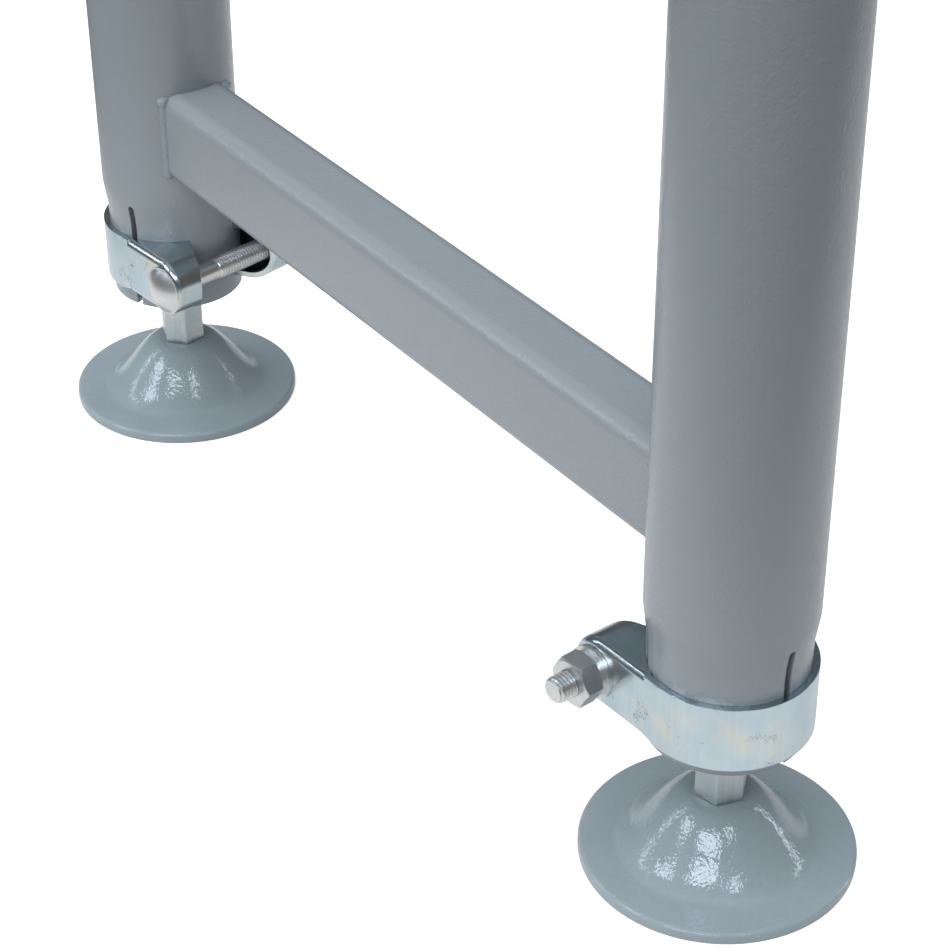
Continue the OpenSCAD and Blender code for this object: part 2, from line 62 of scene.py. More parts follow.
# where things stand, as in the construction: millimetres and degrees, by the leg's number
layout = {
    "legs": {1: (-400, -193.5), 2: (-400, 193.5), 3: (400, 193.5), 4: (400, -193.5)},
    "legRadius": 30.15,
    "clampBottom": {1: 61.5, 2: 64.5, 3: 61.5, 4: 64.5},
    "clampTurn": {1: 94.3, 2: -81.1, 3: 94.3, 4: -81.1},
    "earLean": {1: -1, 2: 3, 3: -1, 4: 3},
    "hexTurn": {1: 42.3, 2: 9.8, 3: 42.3, 4: 9.8},
}

# the camera that was fitted to the photograph: place in metres, angles in degrees, lens and sensor in millimetres
camera = {
    "place": (-0.86075, -0.70996, 0.61620), "yaw": 55.40, "pitch": 33.57, "roll": -0.17,
    "lens": 96.0, "sensor": 36.0, "seesTo": 100.0,
}


def addCamera(c):
    yaw, pitch, roll = (math.radians(c[k]) for k in ("yaw", "pitch", "roll"))
    ahead = Vector((math.cos(yaw) * math.cos(pitch), math.sin(yaw) * math.cos(pitch), -math.sin(pitch)))
    right = ahead.cross(Vector((0, 0, 1))).normalized()
    up = right.cross(ahead)
    turnedRight = math.cos(roll) * right + math.sin(roll) * up
    turnedUp = -math.sin(roll) * right + math.cos(roll) * up
    data = bpy.data.cameras.new("photoCamera")
    data.lens, data.sensor_width, data.clip_end = c["lens"], c["sensor"], c["seesTo"]
    holder = bpy.data.objects.new("photoCamera", data)
    matrix = Matrix((turnedRight, turnedUp, -ahead)).transposed().to_4x4()
    matrix.translation = Vector(c["place"])
    holder.matrix_world = matrix
    scene.collection.objects.link(holder)
    scene.camera = holder


addCamera(camera)

# lamps far round the right foot: azimuth and elevation in degrees as seen from it, width and height in metres.
# glow is what a mirror sees of one; those whose lights is False show in glossy faces only
lamps = {
    "windowFront": {"azimuth": -147, "elevation": 40, "wide": 2.6, "tall": 0.9, "glow": 11, "lights": False},
    "windowSide": {"azimuth": 160, "elevation": 37, "wide": 1.4, "tall": 1.0, "glow": 9, "lights": False},
    "windowBeside": {"azimuth": -103, "elevation": 46, "wide": 0.8, "tall": 1.0, "glow": 9, "lights": False},
    "windowLeft": {"azimuth": 130, "elevation": 28, "wide": 0.24, "tall": 2.6, "glow": 9, "lights": False},
    "windowRight": {"azimuth": -18, "elevation": 20, "wide": 0.24, "tall": 3.2, "glow": 11, "lights": True},
}
studio = {
    "distance": 4.6, "aim": (-0.4, -0.19, 0.02), "lampTint": (0.78, 0.86, 1.0),
    "floorReach": 30.0, "floorRough": 0.9, "sheetTone": 0.70, "floorTone": 0.10,
    "sheetHalf": (0.62, 0.42), "sheetFades": 1.5, "cameraGlow": 0.60, "mirrorGlow": 0.04,
}
# soft light from all round, as lobes of (azimuth, elevation, where it begins, where it is full, level);
# the two edges of a lobe are cosines of the angle from its middle
fillLight = {"base": 0.02, "lobes": [(0, 90, 0.3, 0.8, 1.12), (180, 55, 0.5, 0.95, 1.92)]}
# the dim room that glossy faces mirror: slate with brown patches, and light overhead,
# which begins and is full at these sines of the elevation
mirrorRoom = {
    "slate": (0.10, 0.135, 0.165), "brown": (0.15, 0.12, 0.09), "top": (0.50, 0.53, 0.56),
    "patchScale": 2.2, "patchDetail": 1.0, "brownFrom": 0.42, "brownFull": 0.60,
    "topFrom": 0.87, "topFull": 0.97,
}


def direction(azimuth, elevation):
    a, e = math.radians(azimuth), math.radians(elevation)
    return Vector((math.cos(a) * math.cos(e), math.sin(a) * math.cos(e), math.sin(e)))


def addLamps():
    aim = Vector(studio["aim"])
    for name, lamp in lamps.items():
        away = direction(lamp["azimuth"], lamp["elevation"])
        data = bpy.data.lights.new(name, "AREA")
        data.shape, data.size, data.size_y = "RECTANGLE", lamp["wide"], lamp["tall"]
        data.energy = lamp["glow"] * math.pi * lamp["wide"] * lamp["tall"]
        data.color = studio["lampTint"]
        holder = bpy.data.objects.new(name, data)
        holder.location = aim + away * studio["distance"]
        holder.rotation_euler = away.to_track_quat("Z", "Y").to_euler()
        holder.visible_camera = False
        holder.visible_diffuse = lamp["lights"]
        scene.collection.objects.link(holder)


def mathNode(tree, operation, a, b=None, c=None):
    node = tree.nodes.new("ShaderNodeMath")
    node.operation = operation
    for place, value in enumerate((a, b, c)):
        if value is None:
            continue
        if isinstance(value, (int, float)):
            node.inputs[place].default_value = value
        else:
            tree.links.new(value, node.inputs[place])
    return node.outputs[0]


def rangeNode(tree, value, low, high, toLow, toHigh, smooth=True):
    node = tree.nodes.new("ShaderNodeMapRange")
    node.interpolation_type = "SMOOTHSTEP" if smooth else "LINEAR"
    tree.links.new(value, node.inputs["Value"])
    for socket, number in (("From Min", low), ("From Max", high), ("To Min", toLow), ("To Max", toHigh)):
        node.inputs[socket].default_value = number
    return node.outputs["Result"]


def mixNode(tree, share, first, second, blend="MIX"):
    # a colour mix has its share in socket 0 and its colours in 6 and 7, and gives the colour in output 2
    node = tree.nodes.new("ShaderNodeMix")
    node.data_type, node.blend_type = "RGBA", blend
    for socket, value in ((0, share), (6, first), (7, second)):
        if isinstance(value, (int, float)):
            node.inputs[socket].default_value = value
        elif isinstance(value, tuple):
            node.inputs[socket].default_value = (*value, 1)
        else:
            tree.links.new(value, node.inputs[socket])
    return node.outputs[2]


def rayKinds(tree):
    # the first is one for a ray straight from the camera, the second for a ray by way of a mirror or glass
    path = tree.nodes.new("ShaderNodeLightPath")
    mirrored = mathNode(tree, "MAXIMUM", path.outputs["Is Glossy Ray"], path.outputs["Is Transmission Ray"])
    return path.outputs["Is Camera Ray"], mirrored


def towards(tree, place, azimuth, elevation):
    # how well a direction agrees with the one given, from -1 to 1
    node = tree.nodes.new("ShaderNodeVectorMath")
    node.operation = "DOT_PRODUCT"
    tree.links.new(place, node.inputs[0])
    node.inputs[1].default_value = direction(azimuth, elevation)
    return node.outputs["Value"]


def lobeSum(tree, place, light):
    total = light["base"]
    for azimuth, elevation, begins, full, level in light["lobes"]:
        lobe = rangeNode(tree, towards(tree, place, azimuth, elevation), begins, full, 0, level)
        total = mathNode(tree, "ADD", total, lobe)
    return total


def addWorld():
    # the camera sees white, mirrors and glass see the room, and everything is lit by the soft lobes
    world = bpy.data.worlds.new("studioWorld")
    scene.world = world
    world.use_nodes = True
    tree = world.node_tree
    background = tree.nodes["Background"]
    place = tree.nodes.new("ShaderNodeTexCoord").outputs["Generated"]
    split = tree.nodes.new("ShaderNodeSeparateXYZ")
    tree.links.new(place, split.inputs[0])
    patches = tree.nodes.new("ShaderNodeTexNoise")
    tree.links.new(place, patches.inputs["Vector"])
    patches.inputs["Scale"].default_value = mirrorRoom["patchScale"]
    patches.inputs["Detail"].default_value = mirrorRoom["patchDetail"]
    warm = rangeNode(tree, patches.outputs["Fac"], mirrorRoom["brownFrom"], mirrorRoom["brownFull"], 0, 1)
    walls = mixNode(tree, warm, mirrorRoom["slate"], mirrorRoom["brown"])
    overhead = rangeNode(tree, split.outputs["Z"], mirrorRoom["topFrom"], mirrorRoom["topFull"], 0, 1)
    room = mixNode(tree, overhead, walls, mirrorRoom["top"])
    direct, mirrored = rayKinds(tree)
    seen = mixNode(tree, direct, room, (1.0, 1.0, 1.0))
    colour = mixNode(tree, mathNode(tree, "MAXIMUM", direct, mirrored), lobeSum(tree, place, fillLight), seen)
    tree.links.new(colour, background.inputs["Color"])
    background.inputs["Strength"].default_value = 1.0


def addFloor():
    reach = studio["floorReach"]
    corners = [(-reach, -reach, 0), (reach, -reach, 0), (reach, reach, 0), (-reach, reach, 0)]
    mesh = bpy.data.meshes.new("floor")
    mesh.from_pydata(corners, [], [(0, 1, 2, 3)])
    floor = bpy.data.objects.new("floor", mesh)
    scene.collection.objects.link(floor)
    material = bpy.data.materials.new("paleFloor")
    material.use_nodes = True
    tree = material.node_tree
    shader = tree.nodes["Principled BSDF"]
    shader.inputs["Roughness"].default_value = studio["floorRough"]
    shader.inputs["Specular IOR Level"].default_value = 0.0
    shader.inputs["Emission Color"].default_value = (1, 1, 1, 1)
    # a pale sheet under the table and a darker floor beyond it
    scaled = tree.nodes.new("ShaderNodeMapping")
    tree.links.new(tree.nodes.new("ShaderNodeTexCoord").outputs["Object"], scaled.inputs["Vector"])
    scaled.inputs["Scale"].default_value = (1 / studio["sheetHalf"][0], 1 / studio["sheetHalf"][1], 1)
    away = tree.nodes.new("ShaderNodeVectorMath")
    away.operation = "LENGTH"
    tree.links.new(scaled.outputs["Vector"], away.inputs[0])
    out = rangeNode(tree, away.outputs["Value"], 1.0, studio["sheetFades"], 0, 1)
    step = studio["sheetTone"] - studio["floorTone"]
    tone = mathNode(tree, "MULTIPLY_ADD", out, -step, studio["sheetTone"])
    tree.links.new(tone, shader.inputs["Base Color"])
    # a glow makes both white to the camera; mirrors and glass see them as they are lit, with a touch of glow
    direct, mirrored = rayKinds(tree)
    level = mathNode(tree, "MULTIPLY_ADD", out, step, studio["cameraGlow"])
    glow = mathNode(tree, "MULTIPLY", direct, level)
    glow = mathNode(tree, "MULTIPLY_ADD", mirrored, studio["mirrorGlow"], glow)
    tree.links.new(glow, shader.inputs["Emission Strength"])
    mesh.materials.append(material)
    return floor


addLamps()
addWorld()
floor = addFloor()
print("camera, lamps and floor made")


class Finish:
    # a principled material on object coordinates, with small helpers that wire its nodes

    def __init__(self, name, **settings):
        self.material = bpy.data.materials.new(name)
        self.material.use_nodes = True
        self.tree = self.material.node_tree
        self.shader = self.tree.nodes["Principled BSDF"]
        for socket, value in settings.items():
            self.shader.inputs[socket.replace("_", " ")].default_value = value
        self.place = self.tree.nodes.new("ShaderNodeTexCoord").outputs["Object"]

    def stretched(self, scale):
        node = self.tree.nodes.new("ShaderNodeMapping")
        self.tree.links.new(self.place, node.inputs["Vector"])
        node.inputs["Scale"].default_value = scale
        return node.outputs["Vector"]

    def noise(self, scale, detail=2.0, roughness=0.5, place=None, distortion=0.0):
        node = self.tree.nodes.new("ShaderNodeTexNoise")
        self.tree.links.new(place or self.place, node.inputs["Vector"])
        settings = {"Scale": scale, "Detail": detail, "Roughness": roughness, "Distortion": distortion}
        for socket, value in settings.items():
            node.inputs[socket].default_value = value
        return node.outputs["Fac"]

    def ramp(self, value, stops):
        node = self.tree.nodes.new("ShaderNodeValToRGB")
        self.tree.links.new(value, node.inputs["Fac"])
        band = node.color_ramp
        while len(band.elements) < len(stops):
            band.elements.new(0.5)
        for element, (position, colour) in zip(band.elements, stops):
            element.position = position
            element.color = (*colour, 1)
        return node.outputs["Color"]

    def number(self, value, low, high, toLow, toHigh):
        return rangeNode(self.tree, value, low, high, toLow, toHigh, smooth=False)

    def calc(self, operation, a, b=None, c=None):
        return mathNode(self.tree, operation, a, b, c)

    def mix(self, share, first, second, blend="MIX"):
        return mixNode(self.tree, share, first, second, blend)

    def set(self, socket, value):
        self.tree.links.new(value, self.shader.inputs[socket])

    def relief(self, height, depth, edge):
        # height in 0..1 stands depth metres proud; edge rounds the corners that light catches, in metres
        bump = self.tree.nodes.new("ShaderNodeBump")
        bump.inputs["Distance"].default_value = depth
        self.tree.links.new(height, bump.inputs["Height"])
        bevel = self.tree.nodes.new("ShaderNodeBevel")
        bevel.samples = 4
        bevel.inputs["Radius"].default_value = edge
        self.tree.links.new(bevel.outputs["Normal"], bump.inputs["Normal"])
        self.tree.links.new(bump.outputs["Normal"], self.shader.inputs["Normal"])


# sprayed grey-blue paint: colour drifts a little, orange peel in cells of about a millimetre, and the peel's shading
# also painted into the colour in finer cells
framePaintLook = {
    "ior": 1.5, "thin": (0.244, 0.283, 0.312), "thick": (0.255, 0.295, 0.324), "driftScale": 7.0, "driftDetail": 1.0,
    "peelShadeScale": 1500.0, "grainAndPeelShadeShow": 0.012, "peelShadeFrom": 0.3, "peelShadeTo": 0.7,
    "smoothest": 0.20, "dullest": 0.25, "roughScale": 20.0, "roughDetail": 1.0, "roughFrom": 0.2, "roughTo": 0.8,
    "peelSize": 0.0013, "peelRough": 0.4, "peelDepth": 0.00017,
    "waveSize": 0.0052, "waveDetail": 0.0, "waveDepth": 0.5, "edge": 0.0007,
}
# dipped glossy paint of the feet: small peel that breaks up reflections, over slow waves, and a painted shade of peel
# mottling the colour
footPaintLook = {
    "ior": 1.52, "thin": (0.225, 0.285, 0.320), "thick": (0.258, 0.315, 0.350), "driftScale": 22.0, "driftDetail": 2.0,
    "peelShadeScale": 700.0, "grainAndPeelShadeShow": 0.02, "peelShadeFrom": 0.35, "peelShadeTo": 0.70,
    "smoothest": 0.05, "dullest": 0.09, "roughScale": 60.0, "roughDetail": 2.0, "roughFrom": 0.3, "roughTo": 0.7,
    "peelSize": 0.0012, "peelRough": 0.5, "peelDepth": 0.00011,
    "waveSize": 0.005, "waveDetail": 1.0, "waveDepth": 1.2, "edge": 0.0007,
}


# one recipe for both paints: two tones that drift, a fine mottle of painted shade that stands in for the peel's
# shading, and a bump of peel over waves
def paintFinish(name, look):
    f = Finish(name, IOR=look["ior"])
    tone = f.ramp(f.noise(look["driftScale"], look["driftDetail"]), ((0.3, look["thin"]), (0.7, look["thick"])))
    # painted shade: the colour turns darker and paler in fine cells, as light on the peel's bumps would shade it
    darker, paler = (1 - look["grainAndPeelShadeShow"],) * 3, (1 + look["grainAndPeelShadeShow"],) * 3
    grainAndPeelShade = f.ramp(f.noise(look["peelShadeScale"], 1.0), ((look["peelShadeFrom"], darker), (look["peelShadeTo"], paler)))
    f.set("Base Color", f.mix(1.0, tone, grainAndPeelShade, "MULTIPLY"))
    rough = f.noise(look["roughScale"], look["roughDetail"])
    f.set("Roughness", f.number(rough, look["roughFrom"], look["roughTo"], look["smoothest"], look["dullest"]))
    peel = f.noise(1 / look["peelSize"], 1.0, look["peelRough"])
    wave = f.noise(1 / look["waveSize"], look["waveDetail"])
    f.relief(f.calc("ADD", peel, f.calc("MULTIPLY", wave, look["waveDepth"])), look["peelDepth"], look["edge"])
    return f.material


# one recipe for plated, drawn and ground steel: three tones in clouds, satin patches, fine scratches along a
# direction, and brown specks that are single dots or tangles of thin lines in clusters
def zincFinish(name, look):
    f = Finish(name, Metallic=look["metallic"], Specular_IOR_Level=look["specular"])
    cloud = f.noise(1 / look["patch"], 3.0, 0.55)
    tone = f.ramp(cloud, tuple(zip(look["toneStops"], (look["cool"], look["plain"], look["warm"]))))
    scratch = f.noise(1.0, 2.0, 0.6, place=f.stretched(look["grainAndPeelShade"]))
    fine = f.ramp(scratch, ((0.30, (look["grainDark"],) * 3), (0.70, (look["grainPale"],) * 3)))
    tone = f.mix(look["grainAndPeelShadeShow"], tone, f.mix(1.0, tone, fine, "MULTIPLY"))
    clusterFull = look["clusterFrom"] + look["clusterSpan"]
    cluster = f.number(f.noise(1 / look["clusterSize"], 2.0), look["clusterFrom"], clusterFull, 0, 1)
    strands = f.noise(1 / look["speckSize"], 3.0, 0.6, distortion=look["lineBend"])
    line = f.calc("ABSOLUTE", f.calc("SUBTRACT", strands, 0.5))
    tangle = f.calc("LESS_THAN", line, f.calc("MULTIPLY", cluster, look["lineWidth"]))
    dots = f.noise(1 / look["speckSize"], 3.0, 0.6, distortion=look["dotBend"])
    speck = f.calc("MAXIMUM", tangle, f.calc("GREATER_THAN", dots, look["speckLevel"]))
    f.set("Base Color", f.mix(f.calc("MULTIPLY", speck, look["speckShow"]), tone, look["speck"]))
    satin = f.noise(1 / look["patch"] * look["satinFiner"], 4.0, 0.6)
    rough = f.number(satin, 0.25, 0.75, look["smoothest"], look["dullest"])
    rough = f.calc("ADD", rough, f.calc("MULTIPLY", f.calc("SUBTRACT", scratch, 0.5), look["grainRough"]))
    f.set("Roughness", f.calc("MAXIMUM", rough, f.calc("MULTIPLY", speck, look["speckRough"])))
    pit = f.noise(1 / look["pitSize"], 3.0, 0.6)
    f.relief(f.calc("ADD", pit, f.calc("MULTIPLY", scratch, look["grainDepth"])), look["pitDepth"], look["edge"])
    return f.material


clampZincLook = {
    "metallic": 1.0, "specular": 0.5,
    "cool": (0.45, 0.56, 0.63), "plain": (0.51, 0.60, 0.64), "warm": (0.62, 0.63, 0.56),
    "patch": 0.016, "toneStops": (0.30, 0.52, 0.72), "satinFiner": 2.3, "smoothest": 0.17, "dullest": 0.25,
    "grainAndPeelShade": (420.0, 420.0, 30.0), "grainDark": 0.90, "grainPale": 1.06, "grainAndPeelShadeShow": 0.5,
    "grainRough": 0.03, "grainDepth": 0.5,
    "speck": (0.20, 0.13, 0.08), "speckSize": 0.0022, "speckLevel": 0.74, "speckShow": 0.8, "speckRough": 0.8,
    "clusterSize": 0.011, "clusterFrom": 0.58, "clusterSpan": 0.10,
    "lineWidth": 0.013, "lineBend": 0.8, "dotBend": 0.4,
    "pitSize": 0.0012, "pitDepth": 0.000018, "edge": 0.0005,
}
# the other metals are the clamp's zinc with these values changed
boltZincLook = {
    **clampZincLook,
    "cool": (0.58, 0.62, 0.64), "plain": (0.66, 0.67, 0.66), "warm": (0.69, 0.68, 0.64),
    "patch": 0.012, "smoothest": 0.30, "dullest": 0.36, "grainAndPeelShade": (300.0, 300.0, 300.0), "grainAndPeelShadeShow": 0.25,
    "grainRough": 0.02, "speckLevel": 0.78, "clusterFrom": 0.66, "pitDepth": 0.000006, "edge": 0.0004,
}
spindleZincLook = {
    **clampZincLook,
    "cool": (0.46, 0.52, 0.54), "plain": (0.53, 0.58, 0.58), "warm": (0.59, 0.59, 0.53),
    "patch": 0.012, "smoothest": 0.31, "dullest": 0.42, "grainAndPeelShade": (900.0, 900.0, 25.0), "grainAndPeelShadeShow": 0.8,
    "grainDepth": 1.2, "clusterFrom": 0.66,
}
# the inner leg's dark phosphated steel, with its colour made darker still as a painted shade, so that the slits in the
# outer legs look dark
innerLegSteelAndShadeLook = {
    **clampZincLook, "metallic": 0.0, "specular": 0.1,
    "cool": (0.026, 0.030, 0.034), "plain": (0.036, 0.039, 0.042), "warm": (0.052, 0.048, 0.042),
    "patch": 0.02, "smoothest": 0.40, "dullest": 0.52, "grainAndPeelShade": (260.0, 260.0, 14.0),
    "pitDepth": 0.00002, "edge": 0.0004,
}
rollerLook = {
    **clampZincLook,
    "cool": (0.55, 0.60, 0.64), "plain": (0.62, 0.66, 0.68), "warm": (0.68, 0.68, 0.66),
    "patch": 0.05, "smoothest": 0.32, "dullest": 0.42, "grainAndPeelShade": (9.0, 750.0, 9.0), "grainAndPeelShadeShow": 0.9,
    "grainRough": 0.08, "grainDepth": 1.0, "speckLevel": 0.755,
}
housingLook = {
    **clampZincLook,
    "cool": (0.36, 0.40, 0.43), "plain": (0.44, 0.47, 0.49), "warm": (0.50, 0.50, 0.47),
    "patch": 0.01, "smoothest": 0.31, "dullest": 0.46, "grainAndPeelShade": (300.0, 300.0, 300.0), "edge": 0.0003,
}
axleLook = {
    **clampZincLook,
    "cool": (0.44, 0.46, 0.48), "plain": (0.52, 0.53, 0.53), "warm": (0.56, 0.54, 0.49),
    "patch": 0.01, "smoothest": 0.17, "dullest": 0.24, "grainAndPeelShade": (500.0, 30.0, 500.0), "edge": 0.0003,
}
bearingLook = {
    **clampZincLook,
    "cool": (0.56, 0.57, 0.58), "plain": (0.62, 0.62, 0.61), "warm": (0.64, 0.62, 0.58),
    "patch": 0.01, "smoothest": 0.10, "dullest": 0.20, "grainAndPeelShade": (300.0, 900.0, 300.0),
    "speckLevel": 0.9, "edge": 0.0002,
}

finishes = {
    "frame_paint": paintFinish("framePaint", framePaintLook),
    "foot_paint": paintFinish("footPaint", footPaintLook),
    "clamp_zinc": zincFinish("clampZinc", clampZincLook),
    "bolt_zinc": zincFinish("boltZinc", boltZincLook),
    "spindle_zinc": zincFinish("spindleZinc", spindleZincLook),
    "inner_leg_steel": zincFinish("innerLegSteelAndShade", innerLegSteelAndShadeLook),
    "roller_zinc": zincFinish("rollerZinc", rollerLook),
    "housing_steel": zincFinish("housingSteel", housingLook),
    "axle_steel": zincFinish("axleSteel", axleLook),
    "bearing_steel": zincFinish("bearingSteel", bearingLook),
}

slotOf = {part["node"]: part["material_slot"] for part in frame["record"]["subparts"]}
for nodeName, node in frame["nodes"].items():
    for materialSlot in node.material_slots:
        materialSlot.material = finishes[slotOf[nodeName]]
print("materials made and given to the frame's nodes")


def skin(points, closedRows):
    # points has rows along the profile and columns round the piece; columns always close on themselves.
    # closedRows joins the last row to the first, otherwise the first and last rows are single pole points
    rows, columns, _ = points.shape
    here = np.arange(columns)
    after = (here + 1) % columns
    if closedRows:
        vertices = points.reshape(-1, 3)
        low = np.arange(rows)[:, None] * columns
        high = np.roll(low, -1)
        caps = []
    else:
        vertices = np.vstack([points[0, :1], points[1:-1].reshape(-1, 3), points[-1, :1]])
        rings = 1 + np.arange(rows - 2)[:, None] * columns
        low, high = rings[:-1], rings[1:]
        end = np.full_like(here, len(vertices) - 1)
        caps = [np.stack([here * 0, rings[0] + after, rings[0] + here], axis=-1),
                np.stack([end, rings[-1] + here, rings[-1] + after], axis=-1)]
    quads = np.stack([low + here, low + after, high + after, high + here], axis=-1).reshape(-1, 4)
    # the volume inside is positive when the faces look outwards
    corners = vertices[np.vstack([quads[:, :3], quads[:, [0, 2, 3]], *caps])]
    if np.sum(corners[:, 0] * np.cross(corners[:, 1], corners[:, 2])) < 0:
        quads, caps = quads[:, ::-1], [cap[:, ::-1] for cap in caps]
    return vertices, quads.tolist() + [face for cap in caps for face in cap.tolist()]


def addPiece(name, shells, body, slotName, sharpAbove):
    # shells is a list of (vertices in millimetres, faces); every shell is closed and faces outwards.
    # edges that turn by more than sharpAbove degrees are shaded sharp
    vertices, faces, count = [], [], 0
    for shellVertices, shellFaces in shells:
        vertices.append(shellVertices)
        faces += [[i + count for i in face] for face in shellFaces]
        count += len(shellVertices)
    mesh = bpy.data.meshes.new(name)
    mesh.from_pydata((np.vstack(vertices) * mm).tolist(), [], faces)
    mesh.polygons.foreach_set("use_smooth", np.ones(len(mesh.polygons), bool))
    mesh.set_sharp_from_angle(angle=math.radians(sharpAbove))
    mesh.materials.append(finishes[slotName])
    piece = bpy.data.objects.new(name, mesh)
    scene.collection.objects.link(piece)
    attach(piece, body)
    return piece


def roundAngles(count):
    # this many directions, evenly spaced once round
    return np.arange(count) / count * fullTurn


def turned(profile, columns):
    # a profile of (radius, height) carried once round the Z axis
    angle = roundAngles(columns)
    profile = np.asarray(profile, float)
    radius, height = profile[:, :1], profile[:, 1:]
    return np.stack([radius * np.cos(angle), radius * np.sin(angle), height + 0 * angle], axis=-1)


def arc(centre, radius, start, end, steps):
    # points of a circle in the profile plane, angles in degrees
    angle = np.radians(np.linspace(start, end, steps))
    return np.stack([centre[0] + radius * np.cos(angle), centre[1] + radius * np.sin(angle)], axis=-1)


def eased(share):
    # from 0 to 1 with level ends: s*s*(3 - 2s)
    return share * share * (3 - 2 * share)


# a pressed bell on a flat rim; the skin under it is the same curve one sheet lower
footPlate = {
    "outer": 49.99, "crown": 10.5, "bellFoot": 38.0, "crownTop": 27.5, "crownEdge": 1.5, "hole": 6.0, "holeEdge": 0.4,
    "rimTop": 4.6, "rimUpper": 1.6, "rimLower": 0.8, "rimFlatIn": 0.5, "rimFlatOut": 0.2,
    "sheet": 3.5, "underLowest": 0.6, "underIn": 3.5, "standIn": 40.0, "standOut": 47.7,
    "columns": 160, "bellSteps": 56, "upperSteps": 14, "lowerSteps": 8, "flatSteps": 10, "underSteps": 30,
    "sharpAbove": 32,
}


def bell(radius, p):
    # height falls from the crown to the rim along 1 - eased(s), s being the share of the way out
    share = np.clip((radius - p["crown"]) / (p["bellFoot"] - p["crown"]), 0, 1)
    return p["rimTop"] + (p["crownTop"] - p["rimTop"]) * (1 - eased(share))


def footPlateShell(p):
    # the profile goes from the hole over the bell and the rim, and back along the underside
    out = np.linspace(p["crown"], p["bellFoot"], p["bellSteps"])
    top = np.stack([out, bell(out, p)], axis=-1)
    upper, lower = p["rimUpper"], p["rimLower"]
    edge = np.vstack([arc((p["outer"] - upper, p["rimTop"] - upper), upper, 90, 0, p["upperSteps"]),
                      arc((p["outer"] - lower, lower), lower, 0, -90, p["lowerSteps"])])
    flat = np.linspace(p["bellFoot"] + p["rimFlatIn"], edge[0, 0] - p["rimFlatOut"], p["flatSteps"])
    under = np.linspace(p["standIn"] - p["underIn"], p["crown"], p["underSteps"])
    underside = np.stack([under, np.maximum(bell(under, p) - p["sheet"], p["underLowest"])], axis=-1)
    hole, crownTop = p["hole"], p["crownTop"]
    profile = np.vstack([
        [[hole, crownTop - p["holeEdge"]], [hole + p["holeEdge"], crownTop], [p["crown"] - p["crownEdge"], crownTop]],
        top, np.stack([flat, flat * 0 + p["rimTop"]], axis=-1), edge,
        [[p["standOut"], 0.0], [p["standIn"], 0.0]], underside,
        [[hole, crownTop - p["sheet"]]],
    ])
    return turned(profile[::-1], p["columns"])


for leg, (x, y) in layout["legs"].items():
    vertices, faces = skin(footPlateShell(footPlate), True)
    shells = [(vertices + (x, y, 0), faces)]
    plate = addPiece(f"footPlate{leg}", shells, f"foot_{leg}", "foot_paint", footPlate["sharpAbove"])
    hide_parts(f"foot_plate_{leg}")
    # the floor lies no higher than any foot, so that it doesn't hide a leg that is drawn out
    under = floor.constraints.new("FLOOR")
    under.target = plate.parent
    under.floor_location = "FLOOR_NEGATIVE_Z"
print("foot plates made")

# the shape of a thread in shares of a turn, and how its slope is made of an eased part and a straight part
thread = {"rootHalf": 0.10, "slopeLong": 0.33, "easedPart": 0.35, "straightPart": 0.65}


def threadRadius(angle, height, major, pitch, depth):
    # a helical ridge: the share of a turn picks a place on a flat root, a slope and a flat crest
    share = (height / pitch - angle / fullTurn) % 1.0
    slope = np.clip((np.abs(share - 0.5) - thread["rootHalf"]) / thread["slopeLong"], 0, 1)
    return major - depth * (1 - eased(slope) * thread["easedPart"] - slope * thread["straightPart"])


def hexRadius(angle, acrossFlats, turn):
    # distance from the middle to a hexagon's side in that direction
    sixth = np.pi / 3
    return acrossFlats / 2 / np.cos((angle - np.radians(turn) + sixth / 2) % sixth - sixth / 2)


# levelling spindle: turned pivot with a spread end, hexagon collar and a rolled thread
spindle = {
    "columns": 72, "spread": 18.0, "spreadLow": 21.0, "spreadHigh": 23.4, "spreadEdgeIn": 1.0, "spreadEdgeUp": 0.8,
    "pivot": 12.0, "pivotLow": 23.9, "hexFlats": 17.0, "hexLow": 27.55, "hexHigh": 58.5, "hexEase": 0.35,
    "hexFace": 0.97, "hexInset": 2.0, "hexRings": 8,
    "threadGap": 0.01, "threadTop": 118.5, "major": 16.0, "pitch": 2.0, "depth": 1.2, "rowsPerTurn": 10,
    "startIn": 1.2, "startSlope": 0.6, "endIn": 1.4, "sharpAbove": 28,
}


